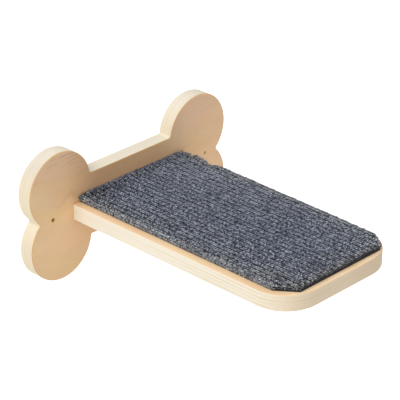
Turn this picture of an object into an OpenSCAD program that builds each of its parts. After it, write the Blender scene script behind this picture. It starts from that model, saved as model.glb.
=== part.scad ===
// Wall step of a cat ladder. A bone-shaped plywood plate screws to the wall and carries
// a plywood tread, and a ribbed carpet lies on the tread. Lengths are in millimetres.
// The origin is on the wall, midway between the two wall screw holes.
// +X runs along the wall, -Y points out from the wall and +Z is up.

/* [Wall plate] */
// Width of the bone outline, end to end
plate_w = 300; // [270:1:360]
// Height of the bone outline, over the lobes
plate_h = 153; // [140:1:160]
// Thickness of the plate's plywood
plate_t = 19; // [16:0.5:24]
// Diameter of each of the four round lobes
lobe_d = 88; // [84:1:96]
// Height of the straight waist between the lobes
waist_h = 75; // [60:1:80]
// Radius that the cutter leaves in each inner corner of the outline
notch_r = 3; // [2:0.5:6]
// Radius of the sanded arris round both boards
ease_r = 1; // [0.5:0.25:2]

/* [Wall screw holes] */
// Diameter of the two holes for the wall screws
wall_hole_d = 4.5; // [3.5:0.5:7]
// Distance from a hole to the nearer end of the plate
wall_hole_inset = 32; // [20:1:45]

/* [Tread] */
// Width of the tread, along the wall
tread_w = 175; // [140:1:200]
// Length of the tread, out from the plate's front face
tread_l = 314; // [220:1:400]
// Thickness of the tread's plywood
tread_t = 19; // [15:0.5:24]
// Radius of the two outer corners of the tread
corner_r = 43; // [20:1:60]
// Distance of the tread's middle plane below the wall screw holes
tread_drop = 1.6; // [0:0.1:12]

/* [Carpet] */
// Bare wood left along each side of the carpet
side_margin = 8.5; // [3:0.5:20]
// Bare wood left along the outer end of the carpet
end_margin = 6.8; // [3:0.1:20]
// Gap between the carpet's cut edge and the wall plate
carpet_gap = 0.5; // [0:0.1:2]
// Bare wood at a rounded corner where the slanting cut meets the carpet's side
corner_bare_side = 6.2; // [3:0.1:8]
// Bare wood at a rounded corner where the slanting cut meets the carpet's end
corner_bare_end = 3.2; // [2:0.1:8]
// Thickness of the black backing
backing_t = 2.3; // [1:0.1:4]
// Distance that the pile overhangs the backing's cut edge
pile_overhang = 0.6; // [0:0.1:1.5]
// Height of the pile above the backing, to the top of a rib
pile_t = 5; // [3:0.1:8]
// Distance from one rib to the next, across the tread
rib_pitch = 6.9; // [4:0.1:10]
// Depth of the furrows between the ribs
rib_h = 1.4; // [0.5:0.1:2]

/* [Tread screws] */
// Diameter over the thread
screw_d = 5; // [4:0.5:6]
// Length from the top of the head to the point
screw_l = 50; // [45:5:70]
// Diameter of the countersunk head
screw_head_d = 10; // [8:0.5:12]
// Diameter of the core, inside the thread
screw_core_d = 3.4; // [2.5:0.1:3.8]
// Distance from one turn of the thread to the next
thread_pitch = 2.6; // [2:0.1:3.5]
// Depth that a head is sunk below the wall face
head_sink = 0.5; // [0.2:0.1:2]
// Distance from an outer screw to the side of the tread
screw_inset = 20; // [14:1:30]

/* [Dowels] */
// Diameter of the two beech dowels
dowel_d = 8; // [6:0.5:10]
// Length of a dowel
dowel_l = 30; // [26:1:40]
// Length of a dowel that lies in the wall plate
dowel_in_plate = 12; // [8:0.5:13]
// Distance from a dowel to the middle of the tread
dowel_offset = 33; // [20:1:40]

/* [Hidden] */
$fn = 96;

// Clearances
fit_gap = 0.05;       // around a screw's thread and a dowel
shank_gap = 0.3;      // around a screw where it passes through the plate
blind_gap = 1;        // beyond the end of a dowel or a screw's point
thread_gap = 1;       // from the joint to the start of a screw's thread
over = 1;             // how far a cut runs past the face it opens

// Thread of a tread screw, a row of rings
thread_run_in = 1;    // from the end of the shank to the bare core
ring_back = 0.9;      // from a ring's middle to its foot on the head's side
ring_front = 0.4;     // from a ring's middle to its foot on the point's side
ring_flat = 0.1;      // half the width of a ring's flat crest

// Bone outline
lobe_r = lobe_d / 2;
lobe_x = plate_w / 2 - lobe_r;
lobe_y = plate_h / 2 - lobe_r;
waist_top = waist_h / 2;
wall_hole_x = plate_w / 2 - wall_hole_inset;

// Tread, from the plate's front face outwards
tread_top = tread_t / 2 - tread_drop;
tread_bottom = tread_top - tread_t;
tread_end = -plate_t - tread_l;

// Carpet
carpet_w = tread_w - 2 * side_margin;
carpet_back = -plate_t - carpet_gap;
carpet_end = tread_end + end_margin;
side_reach = corner_r - side_margin;   // from a corner's centre to the carpet's side
end_reach = corner_r - end_margin;     // from a corner's centre to the carpet's end
corner_cut_l = end_reach - leg(corner_r - corner_bare_side, side_reach);
corner_cut_w = side_reach - leg(corner_r - corner_bare_end, end_reach);
pile_bottom = tread_top + backing_t;
rib_count = ceil(carpet_w / rib_pitch / 2) + 1;
rib_w = rib_pitch * 0.9;
rib_r = (rib_w * rib_w / 4 + rib_h * rib_h) / (2 * rib_h);

// Screws and dowels
screw_x = tread_w / 2 - screw_inset;
screw_r = screw_d / 2;
core_r = screw_core_d / 2;
head_r = screw_head_d / 2;
shank_r = core_r + (screw_r - core_r) / 2;
head_h = head_r - shank_r;
head_rim = 0.6;
point_l = screw_d;
thread_start = plate_t - head_sink + thread_gap;
turns = floor((screw_l - point_l - thread_start) / thread_pitch);
recess_w = 1.1;
recess_l = screw_core_d;
recess_d = 2.4;
dowel_r = dowel_d / 2;
dowel_chamfer = 1;
flute_count = 12;
flute_depth = 0.4;

// The other short side of a right triangle, from its longest side and one short side
function leg(longest, short) = sqrt(max(0, longest * longest - short * short));

// A rectangle from the origin with its four corners rounded
module round_rectangle(size, r) {
    translate([r, 0]) square([size[0] - 2 * r, size[1]]);
    translate([0, r]) square([size[0], size[1] - 2 * r]);
    for (x = [r, size[0] - r], y = [r, size[1] - r])
        translate([x, y]) circle(r);
}

// A disc of board standing on the origin, with both rims eased
module eased_disc(r, t) {
    rotate_extrude() {
        square([r - ease_r, t]);
        translate([0, ease_r]) square([r, t - 2 * ease_r]);
        for (z = [ease_r, t - ease_r])
            translate([r - ease_r, z]) circle(ease_r);
    }
}

// A bar of board along X, centred on it, with its four long edges eased
module eased_bar(length, width, t) {
    translate([-length / 2, -width / 2, 0])
        rotate([90, 0, 90])
            linear_extrude(length) round_rectangle([width, t], ease_r);
}

// Where a cutter that rests on a lobe touches it, in the outline's plane
function touch(lobe, cutter) = lobe + (cutter - lobe) * lobe_r / (lobe_r + notch_r);

// Wood left in an inner corner of the outline by a round cutter, between the eased rims
module corner_web(outline, cutter) {
    translate([0, 0, ease_r]) linear_extrude(plate_t - 2 * ease_r) difference() {
        polygon(outline);
        translate(cutter) circle(notch_r);
    }
}

// Web between the upper and lower lobe of one end
module end_web() {
    cutter = [lobe_x + leg(lobe_r + notch_r, lobe_y), 0];
    upper = touch([lobe_x, lobe_y], cutter);
    corner_web([upper, [lobe_x, 0], [upper[0], -upper[1]], cutter], cutter);
}

// Web between a lobe and the waist's edge
module waist_web() {
    rise = waist_top + notch_r - lobe_y;
    cutter = [lobe_x - leg(lobe_r + notch_r, rise), waist_top + notch_r];
    corner_web([touch([lobe_x, lobe_y], cutter), cutter, [cutter[0], waist_top - ease_r],
                [lobe_x, waist_top - ease_r]], cutter);
}

// The bone-shaped board, lying flat with its rear face on the XY plane
module bone_board() {
    eased_bar(2 * lobe_x, waist_h, plate_t);
    for (sx = [0, 1]) mirror([sx, 0, 0]) {
        end_web();
        for (sy = [0, 1]) mirror([0, sy, 0]) {
            translate([lobe_x, lobe_y, 0]) eased_disc(lobe_r, plate_t);
            waist_web();
        }
    }
}

// Stands what lies on the XY plane up against the wall, its top facing outwards
module on_wall() {
    rotate([90, 0, 0]) children();
}

// Carries a screw or dowel, or its hole, to its place in the joint of plate and tread
module at_joint(x) {
    translate([x, 0, -tread_drop]) on_wall() children();
}

// Clearance hole and countersink for a tread screw, from the wall face
module screw_hole() {
    translate([0, 0, -over]) cylinder(r = screw_r + shank_gap, h = plate_t + 2 * over);
    translate([0, 0, -over]) cylinder(r = head_r + shank_gap, h = over + head_sink + head_rim);
    translate([0, 0, head_sink + head_rim])
        cylinder(r1 = head_r + shank_gap, r2 = shank_r + shank_gap, h = head_h);
}

// Bone-shaped plate that screws to the wall
module wall_plate() {
    color("burlywood") difference() {
        on_wall() bone_board();
        for (sx = [-1, 1])
            translate([sx * wall_hole_x, over, 0]) on_wall()
                cylinder(d = wall_hole_d, h = plate_t + 2 * over);
        for (x = [-screw_x, 0, screw_x]) at_joint(x) screw_hole();
        for (sx = [-1, 1]) at_joint(sx * dowel_offset)
            translate([0, 0, plate_t - dowel_in_plate - blind_gap])
                cylinder(r = dowel_r + fit_gap, h = dowel_in_plate + blind_gap + over);
    }
}

// Solid tread board with eased edges, its rear end on the wall plate
module tread_blank() {
    run = tread_l - corner_r;
    corner_y = tread_end + corner_r;
    translate([0, 0, tread_bottom]) {
        translate([0, -plate_t - run / 2, 0]) rotate(90) eased_bar(run, tread_w, tread_t);
        translate([0, corner_y, 0]) eased_bar(tread_w - 2 * corner_r, 2 * corner_r, tread_t);
        for (sx = [-1, 1])
            translate([sx * (tread_w / 2 - corner_r), corner_y, 0]) eased_disc(corner_r, tread_t);
    }
}

// Board that the cat stands on
module tread_board() {
    screw_depth = head_sink + screw_l - plate_t + blind_gap;
    dowel_depth = dowel_l - dowel_in_plate + blind_gap;
    color("wheat") difference() {
        tread_blank();
        for (x = [-screw_x, 0, screw_x]) at_joint(x)
            translate([0, 0, plate_t - over]) cylinder(r = screw_r + fit_gap, h = screw_depth + over);
        for (sx = [-1, 1]) at_joint(sx * dowel_offset)
            translate([0, 0, plate_t - over]) cylinder(r = dowel_r + fit_gap, h = dowel_depth + over);
    }
}

// Carpet outline drawn in by a distance on its cut edges
module carpet_outline(inset) {
    x = carpet_w / 2 - inset;
    y0 = carpet_back;
    y1 = carpet_end + inset;
    polygon([[-x, y0], [-x, y1 + corner_cut_l], [-x + corner_cut_w, y1],
             [x - corner_cut_w, y1], [x, y1 + corner_cut_l], [x, y0]]);
}

// Black backing glued to the tread
module carpet_backing() {
    color("dimgray") translate([0, 0, tread_top])
        linear_extrude(backing_t) carpet_outline(pile_overhang);
}

// Section across the ribs, standing on the X axis
module rib_section() {
    reach = rib_count * rib_pitch;
    translate([-reach, 0]) square([2 * reach, pile_t - rib_h]);
    intersection() {
        translate([-reach, 0]) square([2 * reach, pile_t]);
        for (i = [-rib_count : rib_count])
            translate([i * rib_pitch, pile_t - rib_r]) circle(rib_r);
    }
}

// Loop pile in ribs that run out from the wall
module carpet_pile() {
    color("slategray") translate([0, 0, pile_bottom]) intersection() {
        linear_extrude(pile_t + over) carpet_outline(0);
        on_wall() linear_extrude(plate_t + tread_l) rib_section();
    }
}

// Countersunk wood screw with its head at the wall face and its point in the tread
module tread_screw() {
    color("goldenrod") translate([0, 0, head_sink]) difference() {
        rotate_extrude() {
            polygon([[0, 0], [head_r, 0], [head_r, head_rim], [shank_r, head_rim + head_h],
                     [shank_r, thread_start], [core_r, thread_start + thread_run_in],
                     [core_r, screw_l - point_l], [0, screw_l]]);
            for (i = [0 : turns - 1])
                translate([0, thread_start + (i + 1) * thread_pitch])
                    polygon([[0, -ring_back], [core_r, -ring_back], [screw_r, -ring_flat],
                             [screw_r, ring_flat], [core_r, ring_front], [0, ring_front]]);
        }
        for (turn = [0, 90]) rotate(turn)
            translate([-recess_l / 2, -recess_w / 2, -over])
                cube([recess_l, recess_w, recess_d + over]);
    }
}

// Fluted dowel that keeps the tread from turning
module joint_dowel() {
    color("tan") translate([0, 0, plate_t - dowel_in_plate]) difference() {
        rotate_extrude()
            polygon([[0, 0], [dowel_r - dowel_chamfer, 0], [dowel_r, dowel_chamfer],
                     [dowel_r, dowel_l - dowel_chamfer], [dowel_r - dowel_chamfer, dowel_l],
                     [0, dowel_l]]);
        for (i = [0 : flute_count - 1]) rotate(i * 360 / flute_count)
            translate([dowel_r - flute_depth, -flute_depth, -over])
                cube([2 * flute_depth, 2 * flute_depth, dowel_l + 2 * over]);
    }
}

wall_plate();
tread_board();
carpet_backing();
carpet_pile();
at_joint(-screw_x) tread_screw();  // tread_screw_left
at_joint(0) tread_screw();  // tread_screw_middle
at_joint(screw_x) tread_screw();  // tread_screw_right
at_joint(-dowel_offset) joint_dowel();  // dowel_left
at_joint(dowel_offset) joint_dowel();  // dowel_right
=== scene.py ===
import math
import random

import bmesh
import bpy
from mathutils import Matrix, Vector, noise


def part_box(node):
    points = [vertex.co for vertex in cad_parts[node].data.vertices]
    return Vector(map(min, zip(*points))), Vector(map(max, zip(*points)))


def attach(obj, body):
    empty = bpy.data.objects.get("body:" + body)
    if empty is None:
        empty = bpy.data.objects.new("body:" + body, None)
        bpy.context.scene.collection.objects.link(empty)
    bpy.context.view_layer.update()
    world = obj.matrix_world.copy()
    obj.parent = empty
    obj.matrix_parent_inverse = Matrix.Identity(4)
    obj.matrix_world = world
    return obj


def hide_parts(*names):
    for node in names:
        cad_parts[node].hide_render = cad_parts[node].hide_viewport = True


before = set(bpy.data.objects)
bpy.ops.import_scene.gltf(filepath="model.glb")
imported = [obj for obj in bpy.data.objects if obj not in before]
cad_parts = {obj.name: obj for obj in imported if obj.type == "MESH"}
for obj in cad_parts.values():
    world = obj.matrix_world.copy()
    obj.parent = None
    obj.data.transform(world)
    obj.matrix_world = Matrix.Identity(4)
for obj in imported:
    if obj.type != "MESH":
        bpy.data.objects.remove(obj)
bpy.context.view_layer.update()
mm = 0.001
perMm = (1 / mm, 1 / mm, 1 / mm)
random.seed(11)


# Helpers

def hexColour(code):
    # An sRGB hex value as a linear colour
    def toLinear(value):
        return value / 12.92 if value <= 0.04045 else ((value + 0.055) / 1.055) ** 2.4
    parts = [int(code[i:i + 2], 16) / 255 for i in (1, 3, 5)]
    return tuple(toLinear(part) for part in parts) + (1.0,)


def clamped(value, most=1.0):
    return max(0.0, min(most, value))


def addNode(tree, kind, inputs=(), output=None, **settings):
    # Adds a node with its settings. Its inputs are values or links, in their order or by
    # socket. Returns the node, or the output that is asked for
    node = tree.nodes.new("ShaderNode" + kind)
    for name, value in settings.items():
        setattr(node, name, value)
    for socket, value in inputs.items() if isinstance(inputs, dict) else enumerate(inputs):
        target = node.inputs[socket]
        if isinstance(value, bpy.types.NodeSocket):
            tree.links.new(value, target)
        else:
            target.default_value = value
    return node if output is None else node.outputs[output]


def newMaterial(name):
    material = bpy.data.materials.new(name)
    material.use_nodes = True
    material.node_tree.nodes.clear()
    return material, material.node_tree


def finishNode(name, material):
    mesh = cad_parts[name].data
    mesh.materials.clear()
    mesh.materials.append(material)


# Plywood

plate = {
    "plies": 9,
    "thickness": 19,               # mm, like every length of the boards
    "waist": 58,                   # half the length of the waist
    "holeSpacing": 236,            # between the two wall screw holes
    "holeRadius": 2.25,
    "drilled": ("#DDA868", "#F6DCB0"),  # brown of the near screw hole and of the far one
    "drilledLip": (0.5, 0.1),      # past the hole's wall: where the brown ends, and is full
    "faceLight": "#ECCA9E",
    "faceDark": "#E5BA8E",
    # Painted shade across the waist, where the carpet and the tread shade the face
    "waistShade": "#D8AD83",
    "waistShadeMiddle": 5,              # this far towards the near side from the plate's middle
    "waistShadeLip": (34, -12),         # past the waist's end: where the waist's painted shade ends, and is full
    # The waist's painted shade fades between two places to a share: along the grain, and across it
    "waistShadeFades": {"X": (-50, 50, 1.0, 0.6), "Y": (-5, 15, 1.0, 0.15)},
    "grainLine": "#A06F45",
    "edgeLight": "#ECE3D0",
    "edgeDark": "#DACCB2",
    "glueLine": "#CDB78F",
    "arris": "#DDB681",
    "waistArris": "#BE8F48",
    "waistLip": 10,                # the waist's arris fades out over this length
    # How far a surface is turned towards the face, 1 on the face and 0 on the edge: the face
    # starts between the first two levels, and the edge between the other two
    "faceStart": (0.88, 0.97),
    "edgeStart": (0.3, 0.1),
    "endTint": "#FDF8F0",          # end grain drinks in more lacquer and yellows
    "endTurn": (0.5, 0.95),        # from where to where the rim turns into end grain
    "underLight": "#FFF0CC",        # painted light: the undersides are paler, as if lit from the floor below
    "underLightTurn": (-0.1, 0.6),
    "underLightShare": 0.55,
    "rimDarkening": (-150, -75, 38, 30, 1.0, "#F1F0F5"),  # painted shade: a darker patch of the near upper rim, which the key lamp lights most
    "banding": (0, 1, 0.25, 0.25),  # two places along the board, and how plainly plies show there
    "bandTurn": (0.6, 0.1, 0.25, 1.0),  # and how much of that is left where the rim turns
    "bandShare": 0.7,
    "plyMottle": 0.22,
    "glueWidth": 0.09,             # of a ply, from its border to where the glue line ends
    "glueCore": 0.03,
    # Patches of another tone in the veneer, one of painted light and two of painted shade:
    # centre and half size, along and across the grain (across runs down the plate), strength and colour
    "patches": [
        (-112, -66, 54, 26, 0.9, "#EBC8A4"),
        # Painted light: warm light thrown back onto the face beside the tread
        (-100, 2, 22, 16, 0.8, "#F6C998"),
        (-122, -6, 28, 14, 0.8, "#ECC792"),
        (-118, 24, 34, 22, 0.8, "#F0CCA0"),
        (-104, 34, 34, 14, 0.7, "#F3CCA2"),
        (-134, -28, 26, 16, 0.6, "#E8CAA4"),
        (-112, 62, 46, 18, 0.9, "#EECC9C"),
        (108, -54, 52, 30, 0.9, "#EEC8A6"),
        (92, -22, 22, 16, 0.6, "#E9C497"),
        (118, -38, 24, 10, 0.6, "#EEC496"),
        (134, 4, 24, 22, 0.6, "#EFC89F"),
        # Painted shade: the carpet's shade on the waist, and on the near lobe beside the carpet
        (-10, -19, 95, 6, 0.45, "#C49D75"),
        (-76, -18, 20, 8, 0.4, "#C49D75"),
    ],
    "patchBorder": (1.3, 0.4),     # in half sizes from its centre: where a patch ends, and is full
    "patchWarp": (60, 40, 0),      # how far the borders wander
    "driftScale": 0.03,            # per mm, the wandering of borders and growth lines
    # Where growth lines and flecks show: centre, half size, strength
    "figured": [
        (-98, -63, 30, 13, 0.65),
        (-143, -50, 12, 12, 0.6),
        (124, -62, 24, 16, 0.4),
        (10, -26, 80, 12, 0.3),
        (-110, 20, 60, 50, 0.08),
    ],
    "ringSpacing": 4.2,
    "ringWander": 18.0,
    "ringLip": (0.72, 0.96),       # a growth line darkens between these, then ends
    # Noise drawn out along the grain: its size along and across, the two levels it is kept
    # between, a shift that sets it apart from the others, its detail and its most
    "clouds": (90, 28, 0.35, 0.65, 0, 3.0, 1.0),
    "ringBreaks": (30, 6, 0.44, 0.60, 19, 2.0, 0.6),
    "flecks": (18, 1.1, 0.60, 0.74, 31, 2.0, 0.6),
    "streaks": (45, 1.6, 0.45, 0.75, 3, 3.0, 1.0),
    "pores": (5.0, 0.45, 0.66, 0.78, 43, 1.0, 1.0),
    "longFibres": (30, 0.7, 0.3, 0.7, 51, 3.0, 1.0),
    "endFibres": (1.2, 0.6, 0.3, 0.7, 71, 2.0, 1.0),
    "bandBreaks": (60, 2.5, 0.3, 0.6, 61, 2.0, 1.0),
    "glueBreaks": (40, 3, 0.35, 0.65, 91, 2.0, 0.5),
    "streakShare": 0.07,
    "poreShare": 0.10,
    "relief": (0.4, 0.6),          # how much of it streaks and pores make
    "reliefDepth": 0.05,
    "roughness": (0.62, 0.46),     # edge and face
}
tread = dict(plate, waist=0, holeSpacing=0, faceLight="#F8DAB2", faceDark="#F0CA9E",
             edgeLight="#F4ECDE", edgeDark="#DCCCA2", glueLine="#C9B184", arris="#DEBA88",
             faceStart=(0.78, 0.9), edgeStart=(0.7, 0.5), endTint="#FBF1E5", endTurn=(0.1, 0.8),
             underLightShare=0.0, rimDarkening=(333, 62, 30, 52, 1.0, "#F6F2F0"),
             banding=(120, 290, 0.12, 0.75),
             # The last patch is painted light on the bare front margin, against the carpet end's shade
             patches=[(70, -84, 60, 8, 0.6, "#F5CFA4"), (200, -84, 70, 8, 0.7, "#F8D8AC"),
                      (332, 0, 14, 120, 1.0, "#FCDDB6")],
             figured=[(170, 0, 200, 120, 0.25)])


def grain(tree, board, along, across, low, high, shift, detail, most):
    drawn = addNode(tree, "Mapping", {"Vector": board, "Location": (shift, shift, shift),
                                      "Scale": (1 / along, 1 / across, 1 / across)}, 0)
    noisy = addNode(tree, "TexNoise", {"Vector": drawn, "Scale": 1.0, "Detail": detail}, "Fac")
    return addNode(tree, "MapRange", [noisy, low, high, 0.0, most], 0)


def patchMask(tree, look, warped, x, y, halfX, halfY, strength):
    # Full in the middle of a patch, none past its uneven border
    scaled = addNode(tree, "Mapping", {"Vector": warped, "Location": (-x / halfX, -y / halfY, 0),
                                       "Scale": (1 / halfX, 1 / halfY, 0)}, 0)
    away = addNode(tree, "VectorMath", [scaled], "Value", operation="LENGTH")
    return addNode(tree, "MapRange", [away, *look["patchBorder"], 0.0, strength], 0)


def waistShadeMask(tree, look, axes):
    # Painted shade across the waist, where the carpet and the tread shade the face
    aside = addNode(tree, "Math", [axes["X"], look["waistShadeMiddle"]], 0, operation="ADD")
    aside = addNode(tree, "Math", [aside], 0, operation="ABSOLUTE")
    ends = [look["waist"] + past for past in look["waistShadeLip"]]
    mask = addNode(tree, "MapRange", [aside, *ends], 0)
    for axis, fade in look["waistShadeFades"].items():
        faded = addNode(tree, "MapRange", [axes[axis], *fade], 0)
        mask = addNode(tree, "Math", [mask, faded], 0, operation="MULTIPLY")
    return mask


def growthLines(tree, look, board, axes, drift):
    # Lines along the grain that wander, each darkening slowly and ending sharply
    start, end = look["ringLip"]
    height = addNode(tree, "Math", [drift["Fac"], look["ringWander"], axes["Y"]], 0,
                     operation="MULTIPLY_ADD")
    level = addNode(tree, "Math", [height, 1 / look["ringSpacing"]], 0, operation="MULTIPLY")
    within = addNode(tree, "Math", [level], 0, operation="FRACT")
    darkening = addNode(tree, "MapRange", [within, start, end], 0)
    ending = addNode(tree, "MapRange", [within, 1.0, end], 0)
    line = addNode(tree, "Math", [darkening, ending], 0, operation="MULTIPLY")
    return addNode(tree, "Math", [line, grain(tree, board, *look["ringBreaks"])], 0,
                   operation="MULTIPLY")


def veneerColour(tree, look, board, axes, drift, warped, streaks, pores):
    # Slow changes of tone and the patches, with painted light and shade among them, and the
    # waist's painted shade, then growth lines, flecks and fine pores
    colour = addNode(tree, "Mix", {0: grain(tree, board, *look["clouds"]),
                                   6: hexColour(look["faceLight"]),
                                   7: hexColour(look["faceDark"])}, 2, data_type="RGBA")
    for *patch, tint in look["patches"]:
        mask = patchMask(tree, look, warped, *patch)
        colour = addNode(tree, "Mix", {0: mask, 6: colour, 7: hexColour(tint)}, 2, data_type="RGBA")
    if look["waist"]:
        colour = addNode(tree, "Mix", {0: waistShadeMask(tree, look, axes), 6: colour,
                                       7: hexColour(look["waistShade"])}, 2, data_type="RGBA")
    figured = 0.0
    for patch in look["figured"]:
        figured = addNode(tree, "Math", [patchMask(tree, look, warped, *patch), figured], 0,
                          operation="MAXIMUM")
    rings = growthLines(tree, look, board, axes, drift)
    flecks = grain(tree, board, *look["flecks"])
    for pattern, share in ((rings, figured), (flecks, figured), (streaks, look["streakShare"]),
                           (pores, look["poreShare"])):
        amount = addNode(tree, "Math", [pattern, share], 0, operation="MULTIPLY")
        colour = addNode(tree, "Mix", {0: amount, 6: colour, 7: hexColour(look["grainLine"])}, 2,
                         data_type="RGBA")
    return colour


def pliesColour(tree, look, board, axes, normal, warped):
    # Plies of one thickness, every other one end grain and darker, with thin glue lines. The
    # 20 plies added below the board keep their numbers above 0
    level = addNode(tree, "Math", [axes["Z"], look["plies"] / look["thickness"]], 0,
                    operation="MULTIPLY")
    level = addNode(tree, "Math", [level, look["plies"] / 2 + 20.0], 0, operation="ADD")
    index = addNode(tree, "Math", [level], 0, operation="FLOOR")
    within = addNode(tree, "Math", [level], 0, operation="FRACT")
    crossing = addNode(tree, "Math", [index, 2.0], 0, operation="MODULO")
    chance = addNode(tree, "TexWhiteNoise", {"W": index}, "Value", noise_dimensions="1D")
    fibres = addNode(tree, "Mix", {0: crossing, 2: grain(tree, board, *look["longFibres"]),
                                   3: grain(tree, board, *look["endFibres"])}, 0)
    mottle = addNode(tree, "Math", [chance, fibres], 0, operation="ADD")
    mottle = addNode(tree, "Math", [mottle, look["plyMottle"]], 0, operation="MULTIPLY")
    banding = addNode(tree, "MapRange", [axes["X"], *look["banding"]], 0)
    turned = addNode(tree, "MapRange", [normal["X"], *look["bandTurn"]], 0)
    banding = addNode(tree, "Math", [banding, turned], 0, operation="MULTIPLY")
    bands = addNode(tree, "Math", [crossing, banding], 0, operation="MULTIPLY")
    for share in (grain(tree, board, *look["bandBreaks"]), look["bandShare"]):
        bands = addNode(tree, "Math", [bands, share], 0, operation="MULTIPLY")
    shade = addNode(tree, "Math", [mottle, bands], 0, operation="ADD")
    colour = addNode(tree, "Mix", {0: shade, 6: hexColour(look["edgeLight"]),
                                   7: hexColour(look["edgeDark"])}, 2, data_type="RGBA")
    width, core = look["glueWidth"], look["glueCore"]
    below = addNode(tree, "MapRange", [within, width, core], 0)
    above = addNode(tree, "MapRange", [within, 1 - width, 1 - core], 0)
    glue = addNode(tree, "Math", [below, above], 0, operation="ADD")
    for share in (banding, grain(tree, board, *look["glueBreaks"])):
        glue = addNode(tree, "Math", [glue, share], 0, operation="MULTIPLY")
    endwise = addNode(tree, "Math", [normal["X"]], 0, operation="ABSOLUTE")
    ends = addNode(tree, "MapRange", [endwise, *look["endTurn"]], 0)
    # A darker patch of the rim: on the plate painted shade, where the key lamp lights it most
    *dimPatch, dimTint = look["rimDarkening"]
    # Painted light: the plate's rim is paler where it faces down
    underLit = addNode(tree, "MapRange", [normal["Y"], *look["underLightTurn"], 0.0, look["underLightShare"]], 0)
    for mask, tint, blend in ((glue, look["glueLine"], "MIX"), (ends, look["endTint"], "MULTIPLY"),
                              (patchMask(tree, look, warped, *dimPatch), dimTint, "MULTIPLY"),
                              (underLit, look["underLight"], "MIX")):
        colour = addNode(tree, "Mix", {0: mask, 6: colour, 7: hexColour(tint)}, 2, data_type="RGBA",
                         blend_type=blend)
    return colour


# Birch-faced plywood: rotary-cut veneers, sanded and sprayed with clear satin lacquer, so
# the face shows broad soft patches with few lines, and the edge shows its plies
def plywoodMaterial(name, look, turn, centre):
    material, tree = newMaterial(name)
    place = addNode(tree, "TexCoord").outputs
    # Board axes in millimetres: x along the face grain, y across it, z through the plies
    board = addNode(tree, "Mapping", {"Vector": place["Object"], "Location": centre,
                                      "Rotation": turn, "Scale": perMm}, 0)
    facing = addNode(tree, "Mapping", {"Vector": place["Normal"], "Rotation": turn}, 0,
                     vector_type="VECTOR")
    axes = addNode(tree, "SeparateXYZ", [board]).outputs
    normal = addNode(tree, "SeparateXYZ", [facing]).outputs
    drift = addNode(tree, "TexNoise", {"Vector": board, "Scale": look["driftScale"],
                                       "Detail": 2.0}).outputs
    centred = addNode(tree, "VectorMath", [drift["Color"], (0.5, 0.5, 0.5)], 0, operation="SUBTRACT")
    warped = addNode(tree, "VectorMath", [centred, look["patchWarp"], board], 0,
                     operation="MULTIPLY_ADD")
    streaks = grain(tree, board, *look["streaks"])
    pores = grain(tree, board, *look["pores"])
    aside = addNode(tree, "Math", [axes["X"]], 0, operation="ABSOLUTE")

    # Sanded arris between face and edge, where the lacquer lies thicker, most along the waist
    arris = hexColour(look["arris"])
    if look["waist"]:
        along = addNode(tree, "MapRange", [aside, look["waist"] + look["waistLip"], look["waist"]], 0)
        arris = addNode(tree, "Mix", {0: along, 6: arris, 7: hexColour(look["waistArris"])}, 2,
                        data_type="RGBA")
    upright = addNode(tree, "Math", [normal["Z"]], 0, operation="ABSOLUTE")
    edge = addNode(tree, "MapRange", [upright, *look["edgeStart"]], 0)
    face = addNode(tree, "MapRange", [upright, *look["faceStart"]], 0)
    plies = pliesColour(tree, look, board, axes, normal, warped)
    veneer = veneerColour(tree, look, board, axes, drift, warped, streaks, pores)
    colour = addNode(tree, "Mix", {0: edge, 6: arris, 7: plies}, 2, data_type="RGBA")
    colour = addNode(tree, "Mix", {0: face, 6: colour, 7: veneer}, 2, data_type="RGBA")

    if look["holeSpacing"]:
        # The walls and lips of the two screw holes are brown, the far one paler than the near one
        across = addNode(tree, "Math", [aside, look["holeSpacing"] / 2], 0, operation="SUBTRACT")
        reach = addNode(tree, "CombineXYZ", [across, axes["Y"]], 0)
        away = addNode(tree, "VectorMath", [reach], "Value", operation="LENGTH")
        lip = [look["holeRadius"] + past for past in look["drilledLip"]]
        bored = addNode(tree, "MapRange", [away, *lip], 0)
        farther = addNode(tree, "MapRange", [axes["X"], -1, 1], 0)
        near, far = [hexColour(tint) for tint in look["drilled"]]
        drilled = addNode(tree, "Mix", {0: farther, 6: near, 7: far}, 2, data_type="RGBA")
        colour = addNode(tree, "Mix", {0: bored, 6: colour, 7: drilled}, 2, data_type="RGBA")

    edgeRough, faceRough = look["roughness"]
    rough = addNode(tree, "Mix", {0: face, 2: edgeRough, 3: faceRough}, 0)
    parts = [addNode(tree, "Math", [pattern, share], 0, operation="MULTIPLY")
             for pattern, share in zip((streaks, pores), look["relief"])]
    relief = addNode(tree, "Math", parts, 0, operation="ADD")
    bump = addNode(tree, "Bump", {"Height": relief, "Distance": look["reliefDepth"] * mm,
                                  "Strength": 0.6}, 0, invert=True)
    shader = addNode(tree, "BsdfPrincipled", {"Base Color": colour, "Roughness": rough,
                                              "Specular IOR Level": 0.3, "Normal": bump}, 0)
    addNode(tree, "OutputMaterial", {"Surface": shader})
    return material


treadLow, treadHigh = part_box("tread_board")
plateWood = plywoodMaterial("lacquered_plywood_plate", plate, (math.radians(90), 0, 0),
                            (0, 0, plate["thickness"] / 2))
treadWood = plywoodMaterial("lacquered_plywood_tread", tread, (0, 0, math.radians(90)),
                            (0, 0, -(treadLow.z + treadHigh.z) / 2 / mm))
finishNode("wall_plate", plateWood)
finishNode("tread_board", treadWood)
print("plywood boards finished")


# Carpet

backLow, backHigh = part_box("carpet_backing")
pileLow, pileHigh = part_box("carpet_pile")

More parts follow.
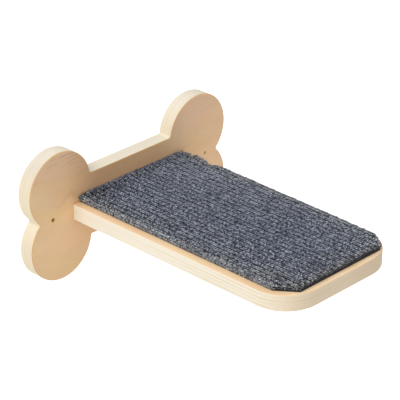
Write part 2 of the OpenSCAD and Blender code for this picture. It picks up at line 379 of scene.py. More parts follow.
carpet = {
    # Loops of yarn
    "ribPitch": 6.9 * mm,
    "columnOffset": 1.44 * mm,      # two columns of loops stand this far from a rib's middle
    "ribWander": 0.4 * mm,
    "wanderLength": 26 * mm,
    "wanderStep": 3.7,              # between ribs in the noise, so that each wanders by itself
    "loopPitch": 1.8 * mm,
    "loopJitter": 0.16 * mm,
    "heightJitter": 1.3,            # of the loops' height, as a share of that
    "overhang": 0.6 * mm,           # how far past the outline a loop may start
    "yarnRadius": 0.5 * mm,
    "archRadius": 1.05 * mm,
    "legLength": 1.6 * mm,
    "flattened": 0.8,               # share of a loop's height that is left underfoot
    "loopScale": (0.85, 1.12),
    "lean": 10,                     # degrees, the loops' turn from square across the rib
    "leanSpread": 18,
    "tiltSpread": 10,
    "swell": 0.25 * mm,             # slow swells in the pile
    "swellLength": 38 * mm,
    # Tone of the loops, 0 dark to 1 light, and how much it differs from loop to loop
    "tone": 0.54,
    "toneMost": 1.1,
    "toneSpread": 0.255,
    "contrast": (1.2, 0.22, 0.3),   # of the spread: at the outer end, less far aside, less inwards
    # Painted shade at the feet of loops and the roots of tufts
    "footShade": -0.2,
    # Painted light and shade on the pile, and patches of its tone: centre and half size in mm, and the
    # change of tone
    "lightShadeAndTone": [
        # Painted shade: the corner against the plate's near lobe, which shades it
        (-60, -22, 62, 26, -0.2),
        (-58, -35, 24, 7, -0.12),
        (56, -100, 36, 80, 0.08),
        (50, -285, 50, 40, 0.05),
        # Painted light on the column inside the far edge, and painted shade on the outermost one, which
        # catches more light
        (73, -190, 2, 140, 0.25),
        (77, -190, 2.5, 140, -0.3),
        (-28, -255, 30, 60, -0.06),
        (10, -228, 24, 34, -0.05),
        (-78, -170, 8, 90, 0.03),
        (-78, -300, 8, 40, 0.15),
        # Painted shade along the front edge of the pile, which lies in shade
        (0, -327, 80, 3, -0.15),
        (-20, -314, 48, 5, -0.12),
        # Painted light on the column inside the far edge, towards the front
        (73, -265, 3, 60, 0.15),
        # Painted light on the row against the plate, easing the corner's painted shade, and painted shade
        # just in front of it
        (0, -24, 90, 4, 0.12),
        (-20, -33, 60, 4, -0.08),
    ],
    # Wear, 0 fresh to 1 rubbed: everywhere, then most and reach of two falls from the cut
    # edge and of one from the plate
    "wornBase": 0.14,
    "wornEdge": ((0.40, 15 * mm), (0.30, 3.0 * mm)),
    "wornWall": (0.15, 12 * mm),
    "wornSpots": 0.3,
    "spotSize": 24 * mm,
    # Patches of more or less wear, given as the painted light, shade and tone are
    "wornPatches": [
        (-60, -300, 26, 30, 0.18),
        (-66, -26, 22, 14, 0.12),
        (10, -238, 36, 46, -0.2),
    ],
    # Woven ground and backing
    "groundHeight": 1.2 * mm,       # woven ground above the backing
    "groundRib": 1.2 * mm,
    "groundInset": 0.9 * mm,
    "backingInset": 0.6 * mm,
    # Outline
    "cornerCutWidth": 18 * mm,
    "cornerCutLength": 23.3 * mm,
    "farCornerGrowth": 3.0 * mm,    # the far corner was cut less deep, and rounder
    "farCornerRound": 1.7 * mm,
    "farRoundSlope": -0.37,
    "farRoundStart": (0.8 * mm, 0.6 * mm),  # from the cut's end, where the rounding's tufts start
    # Height against the plate
    "wallRise": 2.2 * mm,           # pile pushed up against the plate
    "wallReach": 9 * mm,
    "wallEnds": 68 * mm,            # the rise fades past here, towards both sides
    "wallFade": 14 * mm,
    # Bend along the cut edge
    "edgeReach": 5 * mm,            # how far from the cut edge the pile bends
    "bendFade": 14 * mm,            # the downward bend fades within this distance of the plate
    # How far the pile's top bends out and down at each side of the outline
    "bend": {"near": (0.0, 1.8 * mm), "nearCorner": (0.0, 1.8 * mm),
             "front": (0.0, 1.0 * mm), "farCorner": (1.0 * mm, 0.4 * mm),
             "farRound": (1.1 * mm, 0.2 * mm), "far": (1.2 * mm, 0.0)},
    # Uneven cut of the two long sides, which moves the carpet from sideStart outwards
    "sideStart": 40 * mm,
    "sideWidth": 37 * mm,
    "farPinch": 0.3 * mm,           # the far edge stands out this far at the outer end
    "farSpread": 5.6 * mm,          # and this far at the plate
    "nearShift": 0.5 * mm,          # the near edge is drawn in
    "wallFlare": 3 * mm,            # against the plate the near edge flares out this far
    "wallTuck": 4 * mm,             # and the far edge draws in
    "wallTurn": 15 * mm,            # both within this distance
    "tuckEnd": -43 * mm,            # the far edge stands out again where its tuck ends
    "tuckEndWidth": 5 * mm,
    "tuckEndShare": 0.4,            # by this share of the tuck
    "nickAt": -64 * mm,             # a nick in the far edge
    "nickWidth": 8 * mm,
    "nickDepth": 3 * mm,
    "nickDip": 0.4,                 # share of its depth that the pile sinks there
    # Tufts, the cut ends of yarn along the edge
    "tuftPitch": 0.8 * mm,
    "tuftRadius": 0.5 * mm,
    "tuftStep": 0.5 * mm,           # height of each of its two lengths
    "tuftBend": 0.1 * mm,
    "tuftThinning": 0.8,
    "tuftSpread": 32,               # degrees, how far tufts turn from square to the edge
}
yarn = {
    "fresh": ("#323845", "#8C96AC", "#D6DFEE"),   # dark, middle and light, blue-grey on top
    "rubbed": ("#3C3C3C", "#979797", "#E9E9E6"),  # and grey where the carpet is worn
    "woven": ("#15161A", "#1D1F24", "#25272D"),
    # Near black: painted shade on feet deep in the pile and on the darkest tufts
    "deepShade": "#0E0F12",
    "toneShare": 0.65,
    "fibreScale": 0.8,             # per mm
    "fibreLevels": (0.38, 0.62, 0.0, 0.35),
    "middleFrom": (0.1, 0.5),
    "lightFrom": (0.5, 0.95),
    "fadedScale": 0.045,           # per mm, so faded places are about 20 mm across
    "fadedLevels": (0.35, 0.65, 0.0, 0.14),
    "deepShadeFrom": (0.0, -0.6),
}


# Heathered polypropylene yarn, tufted in ribs of small loops: matt, each loop of its own
# tone, blue-grey on top and greyer where the cut edge has rubbed
def carpetMaterial(name, fresh, rubbed):
    material, tree = newMaterial(name)
    place = addNode(tree, "TexCoord", output="Object")
    millimetres = addNode(tree, "Mapping", {"Vector": place, "Scale": perMm}, 0)
    tone = addNode(tree, "Attribute", output="Fac", attribute_name="tone")
    worn = addNode(tree, "Attribute", output="Fac", attribute_name="worn")
    dark, middle, light = [addNode(tree, "Mix", {0: worn, 6: hexColour(new), 7: hexColour(old)}, 2,
                                   data_type="RGBA") for new, old in zip(fresh, rubbed)]
    # Twisted fibres are 0.05 mm thick, drawn as flecks of over 1 mm so that they show
    fibres = addNode(tree, "TexNoise", {"Vector": millimetres, "Scale": yarn["fibreScale"],
                                        "Detail": 1.0}, "Fac")
    faded = addNode(tree, "TexNoise", {"Vector": millimetres, "Scale": yarn["fadedScale"],
                                       "Detail": 2.0}, "Fac")
    scaled = addNode(tree, "Math", [tone, yarn["toneShare"]], 0, operation="MULTIPLY")
    flecks = addNode(tree, "MapRange", [fibres, *yarn["fibreLevels"]], 0)
    mixed = addNode(tree, "Math", [scaled, flecks], 0, operation="ADD")
    # A tone below 0 turns near black: painted shade on feet of loops deep in the pile and on the darkest
    # tufts
    base = dark
    for level, between, colour in ((mixed, yarn["middleFrom"], middle), (mixed, yarn["lightFrom"], light),
                                   (faded, yarn["fadedLevels"], dark),
                                   (tone, yarn["deepShadeFrom"], hexColour(yarn["deepShade"]))):
        share = addNode(tree, "MapRange", [level, *between], 0)
        base = addNode(tree, "Mix", {0: share, 6: base, 7: colour}, 2, data_type="RGBA")
    bump = addNode(tree, "Bump", {"Height": fibres, "Distance": 0.3 * mm, "Strength": 0.8}, 0)
    shader = addNode(tree, "BsdfPrincipled", {"Base Color": base, "Roughness": 0.9,
                                              "Specular IOR Level": 0.2, "Sheen Weight": 0.15,
                                              "Sheen Roughness": 0.5, "Normal": bump}, 0)
    addNode(tree, "OutputMaterial", {"Surface": shader})
    return material


pileMaterial = carpetMaterial("heathered_loop_pile", yarn["fresh"], yarn["rubbed"])
groundMaterial = carpetMaterial("woven_ground", yarn["woven"], yarn["woven"])


# Black foam rubber, cast with the carpet: matt, with fine open cells of 0.8 mm
def foamMaterial():
    material, tree = newMaterial("black_foam_backing")
    place = addNode(tree, "TexCoord", output="Object")
    cells = addNode(tree, "TexVoronoi", {"Vector": place, "Scale": 1 / (0.8 * mm)}, "Distance")
    colour = addNode(tree, "Mix", {0: cells, 6: hexColour("#141416"), 7: hexColour("#26262A")}, 2,
                     data_type="RGBA")
    bump = addNode(tree, "Bump", {"Height": cells, "Distance": 0.1 * mm, "Strength": 0.7}, 0)
    shader = addNode(tree, "BsdfPrincipled", {"Base Color": colour, "Roughness": 0.85,
                                              "Normal": bump}, 0)
    addNode(tree, "OutputMaterial", {"Surface": shader})
    return material


def outlinePlanes(inset):
    # The carpet's outline: for each side a point on it and the way outward
    cutX, cutY = carpet["cornerCutWidth"], carpet["cornerCutLength"]
    growth = carpet["farCornerGrowth"]
    planes = {"far": (Vector((pileHigh.x - inset, 0, 0)), Vector((1, 0, 0))),
              "near": (Vector((pileLow.x + inset, 0, 0)), Vector((-1, 0, 0))),
              "front": (Vector((0, pileLow.y + inset, 0)), Vector((0, -1, 0))),
              "wall": (Vector((0, pileHigh.y, 0)), Vector((0, 1, 0)))}
    for name, side, extra in (("nearCorner", -1, 0), ("farCorner", 1, growth)):
        outward = Vector((side * cutY, -cutX, 0)).normalized()
        corner = Vector((side * (pileHigh.x - cutX), pileLow.y, 0))
        planes[name] = (corner - outward * (inset - extra), outward)
    # The far corner is rounded off between the side and the cut
    sharp = Vector((pileHigh.x, pileLow.y + cutY - growth * math.hypot(cutX, cutY) / cutX, 0))
    outward = Vector((1, carpet["farRoundSlope"], 0)).normalized()
    planes["farRound"] = (sharp - outward * (carpet["farCornerRound"] + inset), outward)
    return planes


def trimToOutline(bm, inset, fill):
    for point, outward in outlinePlanes(inset).values():
        cut = bmesh.ops.bisect_plane(bm, geom=bm.verts[:] + bm.edges[:] + bm.faces[:],
                                     dist=0.001 * mm, plane_co=point, plane_no=outward,
                                     clear_outer=True)
        if fill:
            edges = [item for item in cut["geom_cut"] if isinstance(item, bmesh.types.BMEdge)]
            bmesh.ops.edgeloop_fill(bm, edges=edges)


edgePlanes = outlinePlanes(0)
del edgePlanes["wall"]


def nearestEdge(point):
    # The name of the nearest cut edge, how far inside it the point is, and the way outward
    name = min(edgePlanes, key=lambda side: (edgePlanes[side][0] - point).dot(edgePlanes[side][1]))
    place, outward = edgePlanes[name]
    return name, max(0.0, (place - point).dot(outward)), outward


def settle(point):
    # Moves a point of the plain carpet to where the cut and pressed one has it
    toWall = (point.y - pileLow.y) / (pileHigh.y - pileLow.y)
    upper = clamped((point.z - pileLow.z) / (pileHigh.z - pileLow.z))
    far = clamped((point.x - carpet["sideStart"]) / carpet["sideWidth"]) ** 2
    near = clamped((-point.x - carpet["sideStart"]) / carpet["sideWidth"]) ** 2
    nick = math.exp(-((point.y - carpet["nickAt"]) / carpet["nickWidth"]) ** 2) * far * far
    name, depth, outward = nearestEdge(point)
    out, down = carpet["bend"][name]
    lean = max(0.0, 1 - depth / carpet["edgeReach"]) ** 2
    down *= min(1.0, (pileHigh.y - point.y) / carpet["bendFade"])
    turned = max(0.0, 1 - (pileHigh.y - point.y) / carpet["wallTurn"])
    tuckEnd = math.exp(-((point.y - carpet["tuckEnd"]) / carpet["tuckEndWidth"]) ** 2)
    spread = carpet["farPinch"] + (carpet["farSpread"] - carpet["farPinch"]) * toWall
    spread += carpet["wallTuck"] * (tuckEnd * carpet["tuckEndShare"] - turned)
    point.x += spread * far * upper + carpet["nearShift"] * near - carpet["nickDepth"] * nick
    point.x -= carpet["wallFlare"] * near * upper * turned ** 2
    point.z -= (carpet["nickDepth"] * carpet["nickDip"] * nick + down * lean) * upper
    point += outward * out * lean * upper


def pieceFrom(name, bm, material, smooth=True):
    # Settles a plain shape of the carpet and makes it a piece
    for vert in bm.verts:
        settle(vert.co)
    mesh = bpy.data.meshes.new(name)
    bm.to_mesh(mesh)
    bm.free()
    for face in mesh.polygons:
        face.use_smooth = smooth
    mesh.materials.append(material)
    piece = bpy.data.objects.new(name, mesh)
    bpy.context.scene.collection.objects.link(piece)
    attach(piece, "root")
    return piece


def pileHeight(x, y):
    # Slow swells in the pile, and the rise where it meets the plate
    swell = noise.noise(Vector((x, y, 0)) / carpet["swellLength"]) * carpet["swell"]
    toWall = max(0.0, 1 - (pileHigh.y - y) / carpet["wallReach"])
    ends = clamped((abs(x) - carpet["wallEnds"]) / carpet["wallFade"])
    return swell + carpet["wallRise"] * toWall * (1 - ends)


def ribMiddle(rib, y):
    wander = noise.noise(Vector((rib * carpet["wanderStep"], y / carpet["wanderLength"], 0)))
    return rib * carpet["ribPitch"] + wander * carpet["ribWander"]


def flatGrid(low, high, columns, rows, level):
    bm = bmesh.new()
    bmesh.ops.create_grid(bm, x_segments=columns, y_segments=rows, size=0.5)
    extent = high - low
    bmesh.ops.scale(bm, verts=bm.verts, vec=(extent.x, extent.y, 1))
    bmesh.ops.translate(bm, verts=bm.verts, vec=(0, (low.y + high.y) / 2, level))
    return bm


def newVerts(grown):
    return [item for item in grown["geom"] if isinstance(item, bmesh.types.BMVert)]


def buildBacking():
    bm = flatGrid(backLow, backHigh, 40, 80, backLow.z)
    trimToOutline(bm, carpet["backingInset"], False)
    top = newVerts(bmesh.ops.extrude_face_region(bm, geom=bm.faces[:]))
    bmesh.ops.translate(bm, verts=top, vec=(0, 0, (backHigh - backLow).z))
    bmesh.ops.recalc_face_normals(bm, faces=bm.faces)
    return pieceFrom("foam_backing", bm, foamMaterial(), False)


def buildGround():
    bm = flatGrid(pileLow, pileHigh, 180, 90, 0)
    for vert in bm.verts:
        rib = 0.5 + 0.5 * math.cos(vert.co.x / carpet["ribPitch"] * 2 * math.pi)
        vert.co.z = (pileLow.z + carpet["groundHeight"] + rib * carpet["groundRib"]
                     + pileHeight(vert.co.x, vert.co.y))
    trimToOutline(bm, carpet["groundInset"], False)
    for vert in newVerts(bmesh.ops.extrude_face_region(bm, geom=bm.faces[:])):
        vert.co.z = pileLow.z
    bmesh.ops.recalc_face_normals(bm, faces=bm.faces)
    return pieceFrom("woven_ground", bm, groundMaterial)


def templateMesh(bm):
    bmesh.ops.recalc_face_normals(bm, faces=bm.faces)
    mesh = bpy.data.meshes.new("template")
    bm.to_mesh(mesh)
    bm.free()
    mesh.attributes.new("tone", "FLOAT", "POINT")
    mesh.attributes.new("worn", "FLOAT", "POINT")
    return mesh


def loopTemplate():
    # One loop of yarn: a tube that arches over part of a rib and goes down into the ground
    bm = bmesh.new()
    ring = bmesh.ops.create_circle(bm, cap_ends=False, segments=5, radius=carpet["yarnRadius"])
    bmesh.ops.translate(bm, verts=ring["verts"], vec=(carpet["archRadius"], 0, 0))
    bmesh.ops.spin(bm, geom=bm.verts[:] + bm.edges[:], cent=(0, 0, 0), axis=(0, -1, 0),
                   dvec=(0, 0, 0), angle=math.pi, steps=4, use_merge=False)
    feet = [edge for edge in bm.edges if edge.is_boundary]
    soles = newVerts(bmesh.ops.extrude_edge_only(bm, edges=feet))
    bmesh.ops.translate(bm, verts=soles, vec=(0, 0, -carpet["legLength"]))
    bmesh.ops.holes_fill(bm, edges=bm.edges, sides=0)
    return templateMesh(bm)


def tuftTemplate():
    # One cut end of yarn, 1 mm long: a three-sided sliver that bends and thins
    bm = bmesh.new()
    thinning = carpet["tuftThinning"]
    ring = bmesh.ops.create_circle(bm, cap_ends=True, segments=3, radius=carpet["tuftRadius"])
    top = ring["verts"]
    for step in range(2):
        faces = [face for face in bm.faces if all(vert in top for vert in face.verts)]
        top = newVerts(bmesh.ops.extrude_face_region(bm, geom=faces[-1:]))
        bmesh.ops.translate(bm, verts=top, vec=(carpet["tuftBend"] * step, 0, carpet["tuftStep"]))
        middle = sum((vert.co for vert in top), Vector()) / len(top)
        bmesh.ops.scale(bm, verts=top, vec=(thinning, thinning, 1), space=Matrix.Translation(-middle))
    return templateMesh(bm)


def stamp(bm, template, matrix, tone, worn):
    # Adds a copy of the template, with its tone and wear. Its foot is what lies at 0 or below,
    # darkened with painted shade, the more the deeper it goes
    one = template.copy()
    tones = [tone if vert.co.z > 0.01 * mm else min(carpet["footShade"], vert.co.z / mm)
             for vert in one.vertices]
    one.transform(matrix)
    one.attributes["tone"].data.foreach_set("value", tones)
    one.attributes["worn"].data.foreach_set("value", [worn] * len(one.vertices))
    bm.from_mesh(one)
    bpy.data.meshes.remove(one)


def patchesAt(point, patches):
    # The sum of soft patches at a point
    change = 0.0
    for x, y, halfX, halfY, strength in patches:
        away = ((point.x / mm - x) / halfX) ** 2 + ((point.y / mm - y) / halfY) ** 2
        change += strength * math.exp(-away)
    return change


def wear(point):
    # Greyer towards the cut edges and the plate, and a little in spots
    depth = nearestEdge(point)[1]
    rubbed = sum(most * math.exp(-depth / reach) for most, reach in carpet["wornEdge"])
    wall, wallReach = carpet["wornWall"]
    rubbed += wall * math.exp((point.y - pileHigh.y) / wallReach)
    spots = noise.noise(point / carpet["spotSize"] + Vector((5, 0, 0)))
    rubbed += max(0.0, spots) * carpet["wornSpots"]
    return clamped(carpet["wornBase"] + rubbed + patchesAt(point, carpet["wornPatches"]))


def contrastAt(point):
    # Loops differ most at the near outer corner and least at the far inner one
    most, aside, inward = carpet["contrast"]
    toWall = (point.y - pileLow.y) / (pileHigh.y - pileLow.y)
    return most - aside * point.x / pileHigh.x - inward * toWall


def buildPile(name, ribs):
    template = loopTemplate()
    bm = bmesh.new()
    planes = outlinePlanes(0).values()
    steps = int((pileHigh.y - pileLow.y) / carpet["loopPitch"]) + 2
    top = pileHigh.z - carpet["flattened"] * (carpet["yarnRadius"] + carpet["archRadius"])
    jitter = carpet["loopJitter"]
    count = 0
    for rib in ribs:
        for side in (-1, 1):
            phase = random.uniform(0, 1)
            for step in range(steps):
                y = pileHigh.y + (1 - step - phase) * carpet["loopPitch"] + random.gauss(0, 1) * jitter
                x = ribMiddle(rib, y) + side * carpet["columnOffset"] + random.gauss(0, 1) * jitter
                place = Vector((x, y, 0))
                if any((place - point).dot(outward) > carpet["overhang"] for point, outward in planes):
                    continue
                scale = random.uniform(*carpet["loopScale"])
                turn = carpet["lean"] + random.gauss(0, 1) * carpet["leanSpread"]
                height = top + pileHeight(x, y) + random.gauss(0, carpet["heightJitter"]) * jitter
                spread = random.gauss(0, 1) * carpet["toneSpread"] * contrastAt(place)
                tone = carpet["tone"] + patchesAt(place, carpet["lightShadeAndTone"]) + spread
                tilt = random.gauss(0, carpet["tiltSpread"])
                matrix = (Matrix.Translation((x, y, height))
                          @ Matrix.Rotation(math.radians(turn), 4, "Z")
                          @ Matrix.Rotation(math.radians(tilt), 4, "X")
                          @ Matrix.Diagonal((scale, scale, scale * carpet["flattened"], 1)))
                stamp(bm, template, matrix, clamped(tone, carpet["toneMost"]), wear(place))
                count += 1
    trimToOutline(bm, 0, True)
    bmesh.ops.recalc_face_normals(bm, faces=bm.faces)
    piece = pieceFrom(name, bm, pileMaterial)
    print(name, count, "loops", len(piece.data.polygons), "faces")
    return piece


def buildTufts(name, runs):
    # Cut yarn ends along the runs of the outline, each with its start, end and rows
    template = tuftTemplate()
    bm = bmesh.new()
    count = 0
    for start, end, rows in runs:
        along = end - start
        outward = Vector((along.y, -along.x, 0)).normalized()
        heading = math.atan2(outward.y, outward.x)
        steps = int(along.length / carpet["tuftPitch"])
        for row in rows:
            for step in range(steps):
                share = (step + random.uniform(0, 1)) / steps
                root = start + along * share - outward * random.uniform(*row["inset"]) * mm
                root.z = pileLow.z + random.uniform(*row["roots"]) * mm + pileHeight(root.x, root.y)
                turn = heading + math.radians(random.gauss(0, 1) * carpet["tuftSpread"])
                girth = random.uniform(*row["girth"])
                slope = math.radians(random.uniform(*row["slopes"]))
                length = random.uniform(*row["lengths"])
                matrix = (Matrix.Translation(root) @ Matrix.Rotation(turn, 4, "Z")
                          @ Matrix.Rotation(slope, 4, "Y")
                          @ Matrix.Diagonal((girth, girth, length, 1)))
                stamp(bm, template, matrix, random.uniform(*row["tones"]), random.uniform(*row["worn"]))
                count += 1
    piece = pieceFrom(name, bm, pileMaterial)
    print(name, count, "tufts", len(piece.data.polygons), "faces")
    return piece


backing = buildBacking()
ground = buildGround()
loops = [buildPile("loop_pile_" + name, range(*ribs)) for name, ribs in (
    ("near", (-12, -5)), ("near_middle", (-5, 0)), ("far_middle", (0, 6)), ("far", (6, 13)))]

# The outline, walked so that outward is on the right of each edge
cutX, cutY = carpet["cornerCutWidth"], carpet["cornerCutLength"]
growX = carpet["farCornerGrowth"] * math.hypot(cutX, cutY) / cutY
growY = carpet["farCornerGrowth"] * math.hypot(cutX, cutY) / cutX
roundX, roundY = carpet["farRoundStart"]
outline = [Vector((pileLow.x, pileHigh.y, 0)), Vector((pileLow.x, pileLow.y + cutY, 0)),
           Vector((pileLow.x + cutX, pileLow.y, 0)), Vector((pileHigh.x - cutX + growX, pileLow.y, 0)),
           Vector((pileHigh.x - roundX, pileLow.y + cutY - growY + roundY, 0)),
           Vector((pileHigh.x, pileLow.y + cutY, 0)), Vector((pileHigh.x, pileHigh.y, 0))]
nearRun, nearCornerRun, frontRun, farCornerRun, farRoundRun, farRun = zip(outline[:-1], outline[1:])
# Each row has the inset and height of its roots in mm, slopes from upright in degrees,
# lengths in mm, girth, tones and wear, each from and to
tufts = {
    "rubbedSide": [
        {"inset": (0.5, 1.1), "roots": (0.0, 1.2), "slopes": (150, 178), "lengths": (1.6, 2.5),
         "girth": (0.8, 1.2), "tones": (0.2, 1.1), "worn": (0.6, 1.0)},
        {"inset": (0.8, 1.4), "roots": (0.2, 1.6), "slopes": (120, 168), "lengths": (1.5, 2.5),
         "girth": (0.8, 1.3), "tones": (0.0, 1.0), "worn": (0.5, 1.0)},
        {"inset": (1.0, 1.8), "roots": (1.2, 3.0), "slopes": (80, 160), "lengths": (1.2, 2.4),
         "girth": (0.9, 1.4), "tones": (0.4, 1.25), "worn": (0.5, 1.0)},
        {"inset": (0.9, 2.0), "roots": (2.6, 4.2), "slopes": (30, 110), "lengths": (1.0, 2.0),
         "girth": (0.9, 1.4), "tones": (0.25, 1.1), "worn": (0.4, 0.9)},
        {"inset": (1.8, 3.6), "roots": (3.2, 4.4), "slopes": (20, 100), "lengths": (0.9, 1.6),
         "girth": (0.9, 1.4), "tones": (0.2, 1.1), "worn": (0.3, 0.8)}],
    "rubbedCorner": [
        {"inset": (1.0, 1.8), "roots": (0.2, 1.6), "slopes": (80, 150), "lengths": (1.0, 2.2),
         "girth": (0.8, 1.3), "tones": (0.0, 0.7), "worn": (0.4, 0.9)},
        {"inset": (1.0, 2.0), "roots": (1.6, 4.0), "slopes": (30, 110), "lengths": (1.0, 2.2),
         "girth": (0.9, 1.4), "tones": (0.0, 1.0), "worn": (0.4, 0.9)}],
    # Painted shade: dark tones, some near black, on the front end, which lies in shade
    "frontEnd": [
        {"inset": (0.8, 1.6), "roots": (0.2, 1.4), "slopes": (0, 40), "lengths": (1.4, 2.4),
         "girth": (0.9, 1.4), "tones": (-0.35, 0.55), "worn": (0.4, 0.8)},
        {"inset": (0.8, 1.8), "roots": (1.4, 3.0), "slopes": (0, 50), "lengths": (1.0, 1.8),
         "girth": (0.9, 1.4), "tones": (-0.4, 0.8), "worn": (0.3, 0.6)}],
    # Painted shade: dark tones along the far side, which faces away from the key lamp
    "farSide": [
        {"inset": (0.4, 1.2), "roots": (0.2, 2.0), "slopes": (0, 50), "lengths": (1.8, 3.0),
         "girth": (0.8, 1.2), "tones": (0.0, 0.3), "worn": (0.3, 0.8)},
        {"inset": (0.4, 1.2), "roots": (1.8, 3.2), "slopes": (5, 60), "lengths": (1.0, 1.8),
         "girth": (0.8, 1.2), "tones": (0.0, 0.5), "worn": (0.2, 0.6)}],
    # Painted shade: dark tones against the plate, which shades the pile there
    "againstPlate": [
        {"inset": (0.4, 1.2), "roots": (0.2, 1.8), "slopes": (-12, 0), "lengths": (3.4, 5.4),
         "girth": (0.8, 1.3), "tones": (0.0, 0.4), "worn": (0.0, 0.4)}],
}
endTufts = buildTufts("end_tufts", [(*frontRun, tufts["frontEnd"]), (*farCornerRun, tufts["farSide"]),
                                    (*farRoundRun, tufts["farSide"]), (*farRun, tufts["farSide"]),
                                    (outline[-1], outline[0], tufts["againstPlate"])])
sideTufts = buildTufts("side_fringe", [(*nearRun, tufts["rubbedSide"]),
                                       (*nearCornerRun, tufts["rubbedCorner"])])
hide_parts("carpet_backing")
soft = [ground, *loops, endTufts, sideTufts]
for piece in soft:
    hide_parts("carpet_pile")
print("carpet laid")


# Fasteners

fasteners = {
    "zinc": ("#B9B7AE", "#D8D6CC"),
    "zincRough": (0.26, 0.42),
    "zincGrit": 0.6 * mm,
    "beech": ("#DDB78A", "#B98A5C"),
    "beechScale": 1.4,             # per mm across the grain, so flecks are 0.7 mm wide
    "beechStretch": 0.12,          # and 6 mm long
}


# Cold-headed steel, electroplated with zinc: bright grey, with the plating's faint grit
def zincMaterial():
    material, tree = newMaterial("zinc_plated_steel")
    place = addNode(tree, "TexCoord", output="Object")
    grit = addNode(tree, "TexNoise", {"Vector": place, "Scale": 1 / fasteners["zincGrit"],
                                      "Detail": 2.0}, "Fac")
    dark, light = [hexColour(tint) for tint in fasteners["zinc"]]
    colour = addNode(tree, "Mix", {0: grit, 6: dark, 7: light}, 2, data_type="RGBA")
    rough = addNode(tree, "MapRange", [grit, 0, 1, *fasteners["zincRough"]], 0)
    shader = addNode(tree, "BsdfPrincipled", {"Base Color": colour, "Roughness": rough,
                                              "Metallic": 1.0}, 0)
    addNode(tree, "OutputMaterial", {"Surface": shader})
    return material


# Beech rod, turned and fluted, and left raw: pale and matt, with short darker flecks
def beechMaterial():
    material, tree = newMaterial("turned_beech")
    place = addNode(tree, "TexCoord", output="Object")
    drawn = addNode(tree, "Mapping", {"Vector": place, "Scale": (
        1 / mm, fasteners["beechStretch"] / mm, 1 / mm)}, 0)
    flecks = addNode(tree, "TexNoise", {"Vector": drawn, "Scale": fasteners["beechScale"],
                                        "Detail": 3.0}, "Fac")
    share = addNode(tree, "MapRange", [flecks, 0.4, 0.7], 0)
    pale, dark = [hexColour(tint) for tint in fasteners["beech"]]
    colour = addNode(tree, "Mix", {0: share, 6: pale, 7: dark}, 2, data_type="RGBA")
    shader = addNode(tree, "BsdfPrincipled", {"Base Color": colour, "Roughness": 0.7}, 0)
    addNode(tree, "OutputMaterial", {"Surface": shader})
    return material


zinc = zincMaterial()
beech = beechMaterial()
for place in ("left", "middle", "right"):
    finishNode("tread_screw_" + place, zinc)
for place in ("left", "right"):
    finishNode("dowel_" + place, beech)
print("fasteners finished")


# Stage, lamps and camera

stage = {
    "floorDrop": 600 * mm,        # the step hangs this far above the floor
    "floorSize": 16.0,
    "floorColour": "#EEEDEB",
    "floorGlow": 0.7,             # what the camera sees on top of the floor's own light
    "worldColour": "#FFFFFF",
    "worldLevel": 0.6,
}
white = (1, 1, 1, 1)


def seenRays(tree, rays):
    # 1 for rays from the camera, straight or through gloss and glass, and 0 for light
    seen = addNode(tree, "Math", [rays["Is Camera Ray"], rays["Is Glossy Ray"]], 0,
                   operation="MAXIMUM")
    return addNode(tree, "Math", [seen, rays["Is Transmission Ray"]], 0, operation="MAXIMUM")


# Matt paint, rolled on smooth: an even pale grey, near white to the camera, and clear from below
def floorMaterial():
    material, tree = newMaterial("matt_floor_paint")
    rays = addNode(tree, "LightPath").outputs
    paint = addNode(tree, "BsdfPrincipled", {"Base Color": hexColour(stage["floorColour"]),
                                             "Roughness": 0.9}, 0)
    strength = addNode(tree, "Math", [seenRays(tree, rays), stage["floorGlow"]], 0,
                       operation="MULTIPLY")
    glow = addNode(tree, "Emission", {"Color": white, "Strength": strength}, 0)
    lit = addNode(tree, "AddShader", [paint, glow], 0)
    below = addNode(tree, "NewGeometry", output="Backfacing")
    hidden = addNode(tree, "Math", [below, rays["Is Camera Ray"]], 0, operation="MULTIPLY")
    clear = addNode(tree, "BsdfTransparent", output=0)
    surface = addNode(tree, "MixShader", [hidden, lit, clear], 0)
    addNode(tree, "OutputMaterial", {"Surface": surface})
    return material


def buildStage():
    bm = bmesh.new()
    bmesh.ops.create_grid(bm, x_segments=1, y_segments=1, size=stage["floorSize"] / 2)
    bmesh.ops.translate(bm, verts=bm.verts, vec=(0, 0, -stage["floorDrop"]))
    mesh = bpy.data.meshes.new("floor")
    bm.to_mesh(mesh)
    bm.free()
    mesh.materials.append(floorMaterial())
    floor = bpy.data.objects.new("floor", mesh)
    bpy.context.scene.collection.objects.link(floor)


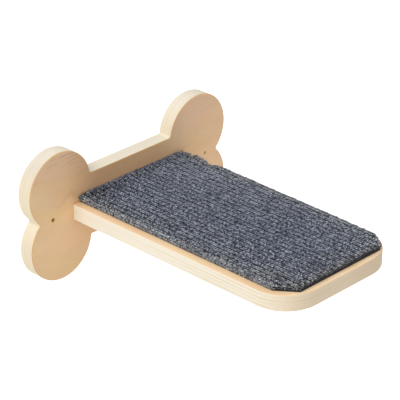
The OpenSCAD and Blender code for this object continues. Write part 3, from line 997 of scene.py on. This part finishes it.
def buildWorld():
    world = bpy.data.worlds.new("studio")
    bpy.context.scene.world = world
    world.use_nodes = True
    tree = world.node_tree
    tree.nodes.clear()
    rays = addNode(tree, "LightPath").outputs
    light = addNode(tree, "Background", {"Color": hexColour(stage["worldColour"]),
                                         "Strength": stage["worldLevel"]}, 0)
    backdrop = addNode(tree, "Background", {"Color": white, "Strength": 1.0}, 0)
    mixed = addNode(tree, "MixShader", [seenRays(tree, rays), light, backdrop], 0)
    addNode(tree, "OutputWorld", {"Surface": mixed})


lamps = {  # places and sizes in metres, power in watts
    "key": {"at": (-1.75, -0.15, 1.88), "aim": (0, -0.15, 0), "size": 1.4, "power": 38},
    "fill": {"at": (0.2, -2.4, 1.2), "aim": (0, -0.15, 0), "size": 1.6, "power": 4.0},
}


def buildLamps():
    for name, lamp in lamps.items():
        data = bpy.data.lights.new(name, "AREA")
        data.size = lamp["size"]
        data.energy = lamp["power"]
        light = bpy.data.objects.new(name, data)
        light.location = lamp["at"]
        light.rotation_mode = "QUATERNION"
        light.rotation_quaternion = (Vector(lamp["aim"]) - Vector(lamp["at"])).to_track_quat("-Z", "Y")
        light.visible_camera = False
        bpy.context.scene.collection.objects.link(light)


view = {
    "azimuth": -45.698,           # degrees, 0 looks along +Y
    "elevation": 26.864,
    "roll": -0.07,
    "lens": 180.9,                # mm
    "sensor": 36,
    "stands": (-1.3889, -1.4814, 1.0024),
}


def buildCamera():
    data = bpy.data.cameras.new("camera")
    data.lens = view["lens"]
    data.sensor_width = view["sensor"]
    camera = bpy.data.objects.new("camera", data)
    around = math.radians(view["azimuth"])
    up = math.radians(view["elevation"])
    back = Vector((math.sin(around) * math.cos(up), -math.cos(around) * math.cos(up), math.sin(up)))
    turn = (-back).to_track_quat("-Z", "Y").to_matrix().to_4x4()
    roll = Matrix.Rotation(math.radians(view["roll"]), 4, "Z")
    camera.matrix_world = Matrix.Translation(view["stands"]) @ turn @ roll
    bpy.context.scene.collection.objects.link(camera)
    bpy.context.scene.camera = camera


buildStage()
buildWorld()
buildLamps()
buildCamera()
bpy.context.scene.view_settings.view_transform = "Standard"
print("stage, lamps and camera placed")
